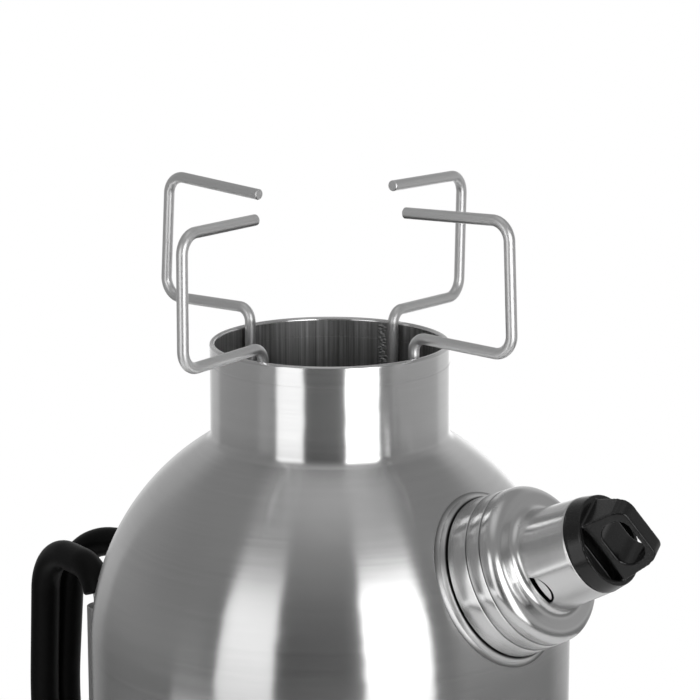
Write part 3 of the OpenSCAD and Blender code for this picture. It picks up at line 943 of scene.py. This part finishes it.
@dataclass
class Spout:
    """Collar and filling tube, and the whistle cap that sits on them."""

    middle_z: float = 185.0
    tilt: float = 64.0
    body_r: float = 81.3
    tube_bore_r: float = 21.8
    tube_r: float = 23.0
    tube_foot: float = 75.09
    tube_end: float = 90.9
    weld_r: float = 29.25
    weld_edge: float = 76.0
    collar_r: float = 28.0
    collar_foot: float = 76.87
    collar_top_r: float = 27.1
    collar_edge: float = 77.47
    collar_top: float = 78.5
    collar_soft: float = 0.35
    weld_hollow: float = 1.6
    weld_rows: int = 8
    sleeve_gap: float = 0.3
    sleeve_soft: float = 0.3
    weld_gap: float = 0.05
    cap_foot: float = 79.1
    cap_r: float = 26.6
    cap_t: float = 1.1
    cap_edge: float = 0.25
    shoulder: float = 94.0
    shoulder_c: float = 21.9
    shoulder_r: float = 4.0
    nozzle_foot_r: float = 16.6
    nozzle_end_r: float = 15.65
    nozzle_fillet: float = 2.8
    nozzle_end: float = 117.6
    groove_at: Point = (86.4, 91.8)
    groove_half: float = 0.4
    groove_deep: float = 0.5
    slot_turn: float = -61.6
    slot_foot: float = 101.1
    slot_w: float = 11.4
    slot_h: float = 4.7
    slit_w: float = 1.7
    tongue_shift: float = 0.5
    tongue_gap: float = 0.6
    plate_foot: float = 107.2
    plate_t: float = 1.0
    plate_hole_r: float = 2.5
    # painted shade: how near the collar's top a point must lie to be darkened
    shade_slack: float = 0.01
    # painted shade: darkening of the weld fillet at the collar's foot
    weld_painted_shade: float = 0.55

    @property
    def axis(self) -> Matrix:
        """Frame of the spout, +Z outwards from the dome's middle."""
        return shift(0, 0, self.middle_z) @ spin(self.tilt, "Y")

    @property
    def bend(self) -> float:
        """Height of the nozzle's fillet."""
        return self.shoulder + self.shoulder_r + self.nozzle_fillet

    def skirt_r(self, t: float) -> float:
        """Radius of the cap's skirt at a height."""
        ends = (self.cap_r, self.shoulder_c + self.shoulder_r)
        return float(np.interp(t, (self.cap_foot, self.shoulder), ends))

    def nozzle_r(self, t: float) -> float:
        """Radius of the nozzle's outside at a height."""
        ends = (self.nozzle_foot_r, self.nozzle_end_r)
        return float(np.interp(t, (self.bend, self.nozzle_end), ends))

    def groove(self, middle: float, steps: int = 16) -> list[Point]:
        """A soft rolled groove round the skirt.

        Args:
            middle: Height of its middle.
            steps: Number of steps across it.

        Returns:
            The points as radius and height.
        """
        spots = []
        for share in np.linspace(-1, 1, steps + 1):
            t = middle + self.groove_half * share
            dip = self.groove_deep * math.cos(share * math.pi / 2) ** 2
            spots.append((self.skirt_r(t) - dip, t))
        return spots

    def cap_section(self) -> list[Point]:
        """Half section of the cap from foot to nozzle and back inside.

        Returns:
            The points as radius and height.
        """
        bend_c = self.nozzle_foot_r + self.nozzle_fillet
        inner = self.cap_t
        edge = self.cap_edge
        foot_r = self.skirt_r(self.cap_foot)
        outside = [
            *arc((foot_r - edge, self.cap_foot + edge), edge, -90, 0, 4),
            *self.groove(self.groove_at[0]), *self.groove(self.groove_at[1]),
            *arc((self.shoulder_c, self.shoulder), self.shoulder_r, 0, 90, 20),
            *arc((bend_c, self.bend), self.nozzle_fillet, 270, 180, 14),
        ]
        for t in np.linspace(self.bend, self.nozzle_end - edge, 26)[1:]:
            outside.append((self.nozzle_r(t), t))
        rim = arc((self.nozzle_end_r - edge, self.nozzle_end - edge), edge, 15, 90, 4)
        inside = [
            (self.nozzle_end_r - inner, self.nozzle_end),
            *arc((bend_c, self.bend), self.nozzle_fillet + inner, 180, 270, 12),
            *arc((self.shoulder_c, self.shoulder), self.shoulder_r - inner, 90, 0, 12),
            (foot_r - inner, self.cap_foot),
        ]
        return [*outside, *rim, *inside]

    def build_collar(self) -> None:
        """Turns the collar with its filling tube."""
        under = [
            (r, math.sqrt(self.body_r**2 - r**2))
            for r in np.linspace(self.tube_r, self.weld_r, self.weld_rows)
        ]
        bow, rise = self.weld_r - self.collar_r, self.collar_foot - self.weld_edge
        fillet = [
            (self.weld_r - bow * s, self.weld_edge + rise * s**self.weld_hollow)
            for s in np.linspace(0, 1, self.weld_rows)
        ]
        soft = self.collar_soft
        collar = turn_section("spout_collar", [
            (self.tube_bore_r, self.tube_foot), (self.tube_r, self.tube_foot), *under, *fillet,
            (self.collar_r, self.collar_edge - soft),
            (self.collar_r - soft / 2, self.collar_edge + soft / 2),
            (self.collar_top_r + soft / 2, self.collar_top - soft / 2),
            (self.collar_top_r - soft, self.collar_top),
            (self.tube_r, self.collar_top), (self.tube_r, self.cap_foot),
            (self.tube_r, self.tube_end), (self.tube_bore_r, self.tube_end),
        ], self.axis)
        # painted shade: darkens the collar's flat top and its weld foot
        self._mark_shade(collar.data, self._collar_shade)
        hand_over(collar, COLLAR, "kettle", "spout_socket")

    def _mark_shade(self, mesh: Mesh, rule: Callable[[float, float], float]) -> None:
        """Marks the points of a mesh that get painted shade in dark gaps and grooves.

        Args:
            mesh: Mesh of a turned piece.
            rule: Gives the mark, 0 to 1, at a radius and a height of the spout's frame.
        """
        back = self.axis.inverted()
        spots = [back @ (point.co / MM) for point in mesh.vertices]
        mark_points(mesh, SHADE_MARK, [rule(math.hypot(s.x, s.y), s.z) for s in spots])

    def _collar_shade(self, _: float, t: float) -> float:
        """Painted shade on the collar's flat top under the cap, and less of it on the weld at its
        foot.
        """
        weld = np.interp(t, (self.weld_edge, self.collar_foot), (self.weld_painted_shade, 0))
        return 1.0 if abs(t - self.collar_top) < self.shade_slack else float(weld)

    def _groove_shade(self, r: float, t: float) -> float:
        """Painted shade in the cap's grooves, by how deep a point lies in one of them."""
        near = min(abs(t - at) for at in self.groove_at) <= self.groove_half
        return min(max((self.skirt_r(t) - r) / self.groove_deep, 0.0), 1.0) if near else 0.0

    def build_cap(self) -> None:
        """Turns the whistle cap and cuts its slot round the tongue."""
        cap = turn_section("whistle_bonnet", self.cap_section(), self.axis)
        slot = self.axis @ spin(self.slot_turn, "Z") @ shift(0, 0, self.slot_foot)
        moon = half_moon(self.slot_w, self.slot_h)
        cutter = extrude_outline(
            "slot_cut", moon, self.nozzle_foot_r, slot @ shift(self.nozzle_end_r / 2, 0, 0)
        )
        tongue = extrude_outline(
            "tongue_block", moon, 2 * self.nozzle_foot_r,
            slot @ shift(0, -self.tongue_shift, -self.tongue_gap),
        )
        wide = self.slot_w
        below = [(-wide, -wide), (wide, -wide), (wide, self.slit_w), (-wide, self.slit_w)]
        slit = extrude_outline(
            "slit_block", below, 3 * self.nozzle_foot_r,
            slot @ shift(-self.nozzle_end_r / 2, 0, 0),
        )
        cut_away(tongue, slit)
        cut_away(cutter, tongue)
        cut_away(cap, cutter)
        # painted shade: darkens the cap's grooves
        self._mark_shade(cap.data, self._groove_shade)
        hand_over(cap, BRIGHT, "whistle", "whistle_cap")

    def build_inside(self) -> None:
        """Turns the silicone sleeve and the sounding plate inside the cap."""
        foot, inner = self.cap_foot + self.sleeve_gap, self.tube_r + self.sleeve_gap
        inset, soft = self.cap_t + self.weld_gap, self.sleeve_soft
        sleeve = turn_section("cap_sleeve", [
            (inner + soft, foot), (self.skirt_r(foot) - inset - soft, foot),
            (self.skirt_r(foot) - inset, foot + soft),
            (self.skirt_r(self.tube_end) - inset, self.tube_end - soft),
            (self.skirt_r(self.tube_end) - inset - soft, self.tube_end),
            (inner + soft, self.tube_end), (inner, self.tube_end - soft), (inner, foot + soft),
        ], self.axis)
        hand_over(sleeve, SILICONE, "whistle", "spout_gasket")
        top = self.plate_foot + self.plate_t
        disc = ring_section(self.plate_hole_r, self.nozzle_r(top) - inset, self.plate_foot, top)
        plate = turn_section("whistle_disc", disc, self.axis, SMALL_SEGMENTS)
        hand_over(plate, BRIGHT, "whistle", "whistle_plate")


@dataclass
class Stopper:
    """Black stopper in the nozzle and the ring on its stem."""

    seal_at: float = 113.9
    seal_w: float = 3.0
    seal_inner_r: float = 10.55
    seal_r: float = 14.25
    voxel: float = 0.28
    soften: int = 5
    soft_share: float = 0.5
    join_gap: float = 0.002
    lip_r: float = 0.9
    lip_at: float = 0.6

    def build_grip(self, solid: Piece) -> None:
        """Softens the moulded edges of the stopper's solid.

        Args:
            solid: The stopper's node, which stays as it is.
        """
        shape = bmesh.new()
        shape.from_mesh(solid.data)
        bmesh.ops.remove_doubles(shape, verts=shape.verts, dist=self.join_gap * MM)
        mesh = bpy.data.meshes.new("stopper_grip")
        shape.to_mesh(mesh)
        shape.free()
        grip = add_object("stopper_grip", mesh)
        remesh = grip.modifiers.new("skin", "REMESH")
        remesh.mode = "VOXEL"
        remesh.voxel_size = self.voxel * MM
        soft = grip.modifiers.new("soft", "SMOOTH")
        soft.factor = self.soft_share
        soft.iterations = self.soften
        freeze(grip)
        grip.data.shade_smooth()
        hand_over(grip, PLASTIC, "stopper", "stopper_knob")

    def build_seal(self, spout: Matrix) -> None:
        """Turns the ring on the stem.

        Args:
            spout: Frame of the spout.
        """
        low, high = self.seal_at - self.seal_w / 2, self.seal_at + self.seal_w / 2
        middle = self.seal_r - self.lip_r
        lip = arc((middle, self.seal_at - self.lip_at), self.lip_r, -90, 0, 6)
        lip += arc((middle, self.seal_at + self.lip_at), self.lip_r, 0, 90, 6)
        ring = turn_section(
            "stopper_ring", [(self.seal_inner_r, low), *lip, (self.seal_inner_r, high)],
            spout, SMALL_SEGMENTS,
        )
        hand_over(ring, RUBBER, "stopper", "stopper_seal")


@dataclass
class Handle:
    """Two wire loops with rubber sleeves, which swing on barrels at the body's side."""

    hinge_r: float = 92.05
    hinge_spread: float = 11.2
    middle_z: float = 138.0
    barrel_r: float = 4.48
    bore_r: float = 2.08
    barrel_h: float = 90.0
    barrel_soft: float = 0.25
    barrel_segments: int = 64
    wire_r: float = 2.0
    sleeve_r: float = 5.25
    sleeve_edge: float = 0.6
    wire_tail: float = 24.0
    reach: float = 38.2
    bow: float = 4.0
    bow_bend: float = 160.0
    grip_bend: float = 18.0
    hinge_bend: float = 12.0
    bare_h: float = 0.9
    bare_turn: float = 22.0
    grip_y: float = 5.6

    @property
    def loop_mid(self) -> float:
        """Height of a loop's arms above its middle."""
        return self.barrel_h / 2 + self.bare_h + self.hinge_bend

    def hinge(self, side: Side) -> Matrix:
        """Frame of a hinge at the handle's middle height.

        Args:
            side: Which loop.

        Returns:
            The frame.
        """
        turn = math.radians(self.hinge_spread)
        x, y = -self.hinge_r * math.cos(turn), side.value * self.hinge_r * math.sin(turn)
        return shift(x, y, self.middle_z)

    def loop(self, side: Side, name: str, end: Point, corner: Point, radius: float) -> BentRod:
        """A rod along a loop.

        Args:
            side: Which loop.
            name: Name of the piece.
            end: First point of the loop's upper half.
            corner: The corner after it.
            radius: Radius of the rod.

        Returns:
            The rod, ready to be bent.
        """
        out = self.hinge_r * math.sin(math.radians(self.hinge_spread)) - self.grip_y
        turn = math.degrees(math.asin(out / (self.reach + self.bow)))
        half = [end, corner, (self.reach, self.loop_mid)]
        mirrored = [(x, -z) for x, z in reversed(half)]
        return BentRod(
            name, [*half, (self.reach + self.bow, 0), *mirrored],
            [self.hinge_bend, self.grip_bend, self.bow_bend, self.grip_bend, self.hinge_bend],
            radius, self.hinge(side) @ spin(180 + side.value * turn, "Z"),
        )

    def build_loop(self, side: Side, tree: NodeSheet) -> None:
        """Bends one loop's wire and its sleeve, and turns its barrel.

        Args:
            side: Which loop.
            tree: The rod tree.
        """
        label = side.name.lower()
        body = f"handle_{label}"
        wire = self.loop(
            side, f"loop_wire_{label}",
            (0, self.barrel_h / 2 - self.wire_tail), (0, self.loop_mid), self.wire_r,
        ).build(tree)
        hand_over(wire, WIRE, body, f"handle_wire_{label}")
        lead = self.hinge_bend * math.tan(math.radians((90 - self.bare_turn) / 2))
        turn = math.radians(self.bare_turn)
        corner = (self.hinge_bend - lead, self.loop_mid)
        back = lead + self.bare_h
        end = (corner[0] - back * math.sin(turn), corner[1] - back * math.cos(turn))
        rod = self.loop(side, f"loop_sleeve_{label}", end, corner, self.sleeve_r)
        rod.edge = self.sleeve_edge
        sleeve = rod.build(tree)
        hand_over(sleeve, RUBBER, body, f"handle_sleeve_{label}")
        high, soft = self.barrel_h / 2, self.barrel_soft
        barrel = turn_section(f"barrel_{label}", [
            (self.bore_r, -high), (self.barrel_r - soft, -high), (self.barrel_r, soft - high),
            (self.barrel_r, high - soft), (self.barrel_r - soft, high), (self.bore_r, high),
        ], self.hinge(side), self.barrel_segments)
        # painted shade: the barrel's darker steel stands in for the sleeves' shadow
        hand_over(barrel, SHADED_BARREL, "kettle", f"hinge_barrel_{label}")


@dataclass
class PanSupport:
    """Two bent wires that cross in the chimney and carry a pan."""

    rim_z: float = 288.018
    wire_r: float = 1.85
    leg_r: float = 36.05
    arm_r: float = 76.0
    arm_z: float = 3.3
    upper_lift: float = 2.2
    arm_rise: float = 0.8
    rail_h: float = 43.0
    rail: float = 42.0
    short_rail: float = 36.5
    lower_leans: Point = (-0.3, 1.7)
    upper_leans: Point = (-2.6, -3.6)
    lower_turn: float = -88.7
    upper_turn: float = -2.9
    corner_bend: float = 6.5
    hook_bend: float = 4.6
    foot_bend: float = 7.0
    cross_deep: float = 45.0
    cross_gap: float = 4.0

    def half(self, arms_z: float, foot_z: float, lean: float, rail: float) -> list[Point]:
        """Points of half a wire, from its rail's end to the foot of its leg.

        Args:
            arms_z: Height of the arm over the rim.
            foot_z: Height of the foot.
            lean: Lean of the post, in degrees.
            rail: Length of the rail.

        Returns:
            The points as distance from the axis and height.
        """
        post = (math.sin(math.radians(lean)), math.cos(math.radians(lean)))
        top = (self.arm_r + self.rail_h * post[0], arms_z + self.rail_h * post[1])
        end = (top[0] - rail * post[1], top[1] + rail * post[0])
        return [
            end, top, (self.arm_r, arms_z), (self.leg_r, arms_z + self.arm_rise),
            (self.leg_r, foot_z),
        ]

    def wire(self, name: str, turn: float, lifts: Point, leans: Point, rails: Point) -> BentRod:
        """One wire across the chimney.

        Args:
            name: Name of the piece.
            turn: Turn of its plane about the chimney, in degrees.
            lifts: Height of its arms and of its foot over the rim.
            leans: Lean of its two posts, in degrees.
            rails: Length of its two rails.

        Returns:
            The rod, ready to be bent.
        """
        first = self.half(*lifts, leans[0], rails[0])
        second = self.half(*lifts, leans[1], rails[1])
        bends = [self.corner_bend, self.corner_bend, self.hook_bend, self.foot_bend]
        return BentRod(
            name, [*first, *((-x, z) for x, z in reversed(second))], [*bends, *reversed(bends)],
            self.wire_r, shift(0, 0, self.rim_z) @ spin(turn, "Z"),
        )

    def build(self, tree: NodeSheet) -> None:
        """Bends both wires.

        Args:
            tree: The rod tree.
        """
        arms, foot = self.arm_z, -self.cross_deep
        for label, turn, lifts, leans, rails in (
            ("lower", self.lower_turn, (arms, foot),
             self.lower_leans, (self.short_rail, self.rail)),
            ("upper", self.upper_turn, (arms + self.upper_lift, foot + self.cross_gap),
             self.upper_leans, (self.rail, self.rail)),
        ):
            wire = self.wire(f"pan_wire_{label}", turn, lifts, leans, rails).build(tree)
            hand_over(wire, WIRE, f"support_{label}", f"support_wire_{label}")


@dataclass
class Studio:
    """Camera, pale floor and backdrop, strip boxes with grey cards, lamp and world, in metres."""

    eye: Triple = (0.551588, -0.701262, 0.481356)
    gaze: Triple = (-0.59802, 0.77208, -0.2151)
    lens: float = 141.2
    sensor: float = 36.0
    lamp_at: Triple = (0.25, -0.35, 1.6)
    lamp_gaze: Triple = (-0.25, 0.35, -1.5)
    lamp_size: float = 1.5
    lamp_watts: float = 17.0
    floor_hole_r: float = 0.001
    floor_r: float = 4.0
    wall_h: float = 3.0
    room_tone: float = 0.86
    fade: Point = (0.3, 0.45)
    grey: float = 0.29
    zenith: float = 0.62
    zenith_z: Point = (0.86, 1.0)
    turn_steps: int = 720
    front: float = -51.8
    card_r: float = 0.45
    card_foot_r: float = 0.34
    card_foot_z: float = 0.002
    card_top: float = 0.62
    card_fade: float = 0.2
    card_foot_rows: int = 6
    card_rows: int = 63
    card_floor: float = 0.2
    pool: Point = (-76.0, -52.0)
    pool_z: float = 0.022
    pool_glow: float = 1.3
    card_heights: Triple = (0.07, 0.19, 0.33)
    cards: tuple[tuple[float, float, float, float], ...] = (
        (-180, 0.8, 1.1, 0.5), (-164, 0.8, 0.95, 0.5), (-150, 0.34, 0.56, 0.48),
        (-130, 0.24, 0.52, 0.42), (-124, 0.16, 0.34, 0.34), (-90, 0.14, 0.34, 0.26),
        (-60, 0.1, 0.32, 0.24), (-50.2, 0.08, 0.2, 0.22), (-49.4, 1.2, 1.15, 1.6),
        (-24.6, 1.3, 1.15, 1.6), (-23.6, 0.15, 0.02, 0.15), (-12, 0.15, 0.04, 0.15),
        (5, 0.17, 0.07, 0.15), (13.8, 0.24, 0.14, 0.2), (14.6, 1.8, 2, 3.2),
        (44.6, 1.8, 2, 3.2), (45.4, 0.17, 0.3, 0.25), (52, 0.16, 0.26, 0.24),
        (60, 0.17, 0.44, 0.26), (90, 0.18, 0.46, 0.3), (118, 0.2, 0.46, 0.4),
        (124, 0.3, 0.62, 0.5), (150, 0.55, 0.7, 0.62), (164, 1.4, 1.5, 0.7),
        (180, 0.8, 1.1, 0.5),
    )

    @property
    def turns(self) -> np.ndarray:
        """Azimuths round the stage, in degrees from the camera's side."""
        return np.linspace(-180, 180, self.turn_steps, endpoint=False)

    def build(self) -> None:
        """Sets the whole studio up."""
        bpy.context.scene.view_settings.view_transform = "Standard"
        self._camera()
        self._world()
        self._lamp()
        self._room()
        self._cards()

    def _aim(self, data: bpy.types.ID, spot: Triple, gaze: Triple) -> Piece:
        """Puts a camera or a lamp in its place.

        Args:
            data: The camera or lamp.
            spot: Its place.
            gaze: Way it looks.

        Returns:
            The object.
        """
        thing = add_object(data.name, data)
        thing.location = spot
        thing.rotation_euler = Vector(gaze).to_track_quat("-Z", "Y").to_euler()
        return thing

    def _camera(self) -> None:
        """Places the camera at the photo's view."""
        data = bpy.data.cameras.new("camera")
        data.lens = self.lens
        data.sensor_fit = "HORIZONTAL"
        data.sensor_width = self.sensor
        data.dof.use_dof = False
        bpy.context.scene.camera = self._aim(data, self.eye, self.gaze)

    def _lamp(self) -> None:
        """One wide soft lamp overhead."""
        data = bpy.data.lights.new("soft_lamp", "AREA")
        data.shape = "DISK"
        data.size = self.lamp_size
        data.energy = self.lamp_watts
        self._aim(data, self.lamp_at, self.lamp_gaze).visible_glossy = False

    def _world(self) -> None:
        """Grey light, paler overhead, and white where the camera looks past the room."""
        world = bpy.data.worlds.new("studio")
        world.use_nodes = True
        bpy.context.scene.world = world
        sheet = ShaderSheet(world.node_tree)
        rays = sheet.node("ShaderNodeLightPath").outputs
        way = sheet.parts(sheet.node("ShaderNodeTexCoord").outputs["Generated"])
        level = sheet.node("ShaderNodeMix", {
            "Factor": rays["Is Camera Ray"], "B": 1,
            "A": sheet.spread(way["Z"], self.zenith_z, (self.grey, self.zenith)),
        }, data_type="FLOAT")
        sheet.feed(world.node_tree.nodes["Background"], {
            "Color": (1, 1, 1, 1), "Strength": level.outputs["Result"],
        })

    def _bare(self, name: str) -> tuple[Material, ShaderSheet]:
        """A material with no shader yet.

        Args:
            name: Name of the material.

        Returns:
            The material and the sheet of its tree.
        """
        material = bpy.data.materials.new(name)
        material.use_nodes = True
        nodes = material.node_tree.nodes
        nodes.remove(nodes["Principled BSDF"])
        return material, ShaderSheet(material.node_tree)

    def _room(self) -> None:
        """A pale floor that keeps the shadow, and a round white wall."""
        material, sheet = self._bare("pale_room")
        matt = sheet.node("ShaderNodeBsdfDiffuse", {"Color": (*(self.room_tone,) * 3, 1)})
        white = sheet.node("ShaderNodeEmission", {"Strength": 1})
        rays = sheet.node("ShaderNodeLightPath").outputs
        seen = sheet.math("ADD", rays["Is Camera Ray"], rays["Is Glossy Ray"])
        seen = sheet.math("ADD", seen, rays["Is Transmission Ray"])
        place = sheet.node("ShaderNodeTexCoord").outputs["Object"]
        flat = sheet.node("ShaderNodeVectorMath", {0: place, 1: (1, 1, 0)}, operation="MULTIPLY")
        far = sheet.node("ShaderNodeVectorMath", {0: flat.outputs[0]}, operation="LENGTH")
        away = sheet.spread(far.outputs["Value"], self.fade, (0, 1))
        mix = sheet.node("ShaderNodeMixShader", {
            "Fac": sheet.math("MULTIPLY", seen, away, clamp=True),
            1: matt.outputs[0], 2: white.outputs[0],
        })
        sheet.feed(sheet.tree.nodes["Material Output"], {"Surface": mix.outputs[0]})
        edge = (self.floor_r, 0)
        for name, profile in (
            ("floor", [(self.floor_hole_r, 0), edge]),
            ("backdrop", [edge, (self.floor_r, self.wall_h)]),
        ):
            self._sheet(name, profile, material)

    def _sheet(self, name: str, profile: Sequence[Point], material: Material) -> Piece:
        """An open round sheet of the stage.

        Args:
            name: Name of the sheet.
            profile: Radius and height of each row.
            material: What it shows.

        Returns:
            The sheet.
        """
        angles = np.radians(self.turns + self.front)
        spots = [(r * math.cos(a), r * math.sin(a), z) for r, z in profile for a in angles]
        count = len(angles)
        faces = []
        for low in range(0, len(spots) - count, count):
            high = low + count
            for j in range(count):
                k = (j + 1) % count
                faces.append((low + k, low + j, high + j, high + k))
        mesh = bpy.data.meshes.new(name)
        mesh.from_pydata(spots, [], faces)
        sheet = add_object(name, mesh)
        dress(sheet, material)
        return sheet

    def _card_glow(self, turn: float, z: float) -> float:
        """Light of the cards at an azimuth and a height.

        Args:
            turn: Azimuth from the camera's side, in degrees.
            z: Height in metres.

        Returns:
            Strength of the light.
        """
        if self.pool[0] < turn < self.pool[1] and z < self.pool_z:
            return self.pool_glow
        if z <= self.card_foot_z:
            return self.card_floor
        turns, *columns = zip(*self.cards)
        levels = [np.interp(turn, turns, column) for column in columns]
        level = float(np.interp(z, self.card_heights, levels))
        share = min(max((self.card_top - z) / self.card_fade, 0), 1)
        share = share * share * (3 - 2 * share)
        return self.grey + (level - self.grey) * share

    def _cards(self) -> None:
        """A ring of strip boxes and grey cards that only shines in the metal."""
        foot = self.card_foot_z
        rows = [(r, foot) for r in np.linspace(self.card_foot_r, self.card_r, self.card_foot_rows)]
        rows += [(self.card_r, z) for z in np.linspace(2 * foot, self.card_top, self.card_rows)]
        material, sheet = self._bare("strip_glow")
        level = sheet.node("ShaderNodeAttribute", attribute_name=GLOW)
        shine = sheet.node("ShaderNodeEmission", {"Strength": level.outputs["Fac"]})
        sheet.feed(sheet.tree.nodes["Material Output"], {"Surface": shine.outputs[0]})
        ring = self._sheet("strip_boxes", rows, material)
        glows = [self._card_glow(float(turn), z) for _, z in rows for turn in self.turns]
        mark_points(ring.data, GLOW, glows)
        for rays in ("camera", "diffuse", "transmission", "shadow"):
            setattr(ring, f"visible_{rays}", False)


def dress_solids(nodes: dict[str, Piece]) -> None:
    """Gives the solids that stay their steel finish.

    Args:
        nodes: The part's nodes by name.
    """
    for name, finish in (("bottom_ring", FLUE), ("handle_bracket", SATIN_PLAIN)):
        dress(nodes[name], finish.material())
        LOG.info("%s keeps its solid", name)


def main() -> None:
    """Builds the studio and the kettle's pieces in order."""
    logging.basicConfig(level=logging.INFO, format="%(message)s")
    for old in list(bpy.data.objects):
        bpy.data.objects.remove(old)
    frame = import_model()
    Studio().build()
    rods = rod_tree()
    spout = Spout()
    body = KettleBody()
    stopper = Stopper()
    handle = Handle()
    FireBase().build()
    body.build_sheet(spout.axis)
    body.build_flue()
    body.build_rim()
    spout.build_collar()
    spout.build_cap()
    spout.build_inside()
    stopper.build_grip(frame["nodes"]["stopper_knob"])
    stopper.build_seal(spout.axis)
    for side in Side:
        handle.build_loop(side, rods)
    PanSupport().build(rods)
    dress_solids(frame["nodes"])


if __name__ == "__main__":
    main()
